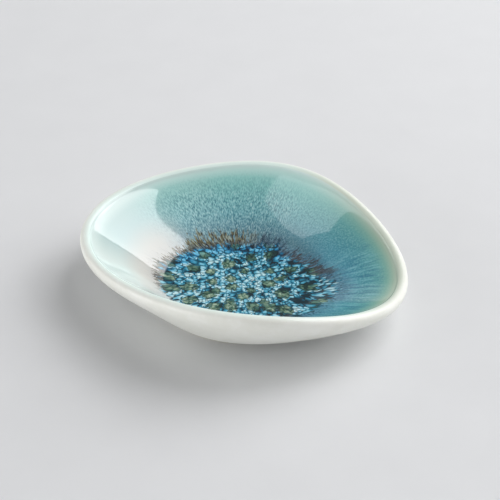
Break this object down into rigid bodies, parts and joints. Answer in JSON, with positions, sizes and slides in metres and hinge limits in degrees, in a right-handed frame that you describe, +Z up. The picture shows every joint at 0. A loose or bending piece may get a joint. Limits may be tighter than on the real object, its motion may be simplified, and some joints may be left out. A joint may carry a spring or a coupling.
{
  "type": "dip bowl",
  "caption": "Small shallow porcelain dip bowl, softly oval with a waving rolled lip, on a round foot ring, lined with celadon glaze and pooled crystal glass.",
  "frame": {"origin": "middle of the dish's box in plan, on the flat underside of the foot ring", "axes": "+Z up out of the dish, -Y towards the camera of the picture, +X to its right"},
  "size_m": [0.095, 0.0888, 0.0231],
  "materials": {
    "clay": "matt fired porcelain, hidden under the glaze",
    "foot_clay": "cream-white satin, bare where it stands",
    "white_glaze": "glossy cream-white",
    "recess_white_glaze": "glossy cream-white",
    "celadon_glaze": "glossy celadon to turquoise with fine radial streaks",
    "fleck_glaze": "glossy, ochre and iron-brown flecks over blue",
    "crystal_glass": "glossy pooled glass, blue and olive crystals"
  },
  "bodies": {
    "root": {"clay_body": "clay", "foot_ring": "foot_clay", "outer_glaze": "white_glaze", "recess_glaze": "recess_white_glaze", "inner_glaze": "celadon_glaze", "fleck_ring": "fleck_glaze", "crystal_pool": "crystal_glass"}
  },
  "joints": []
}
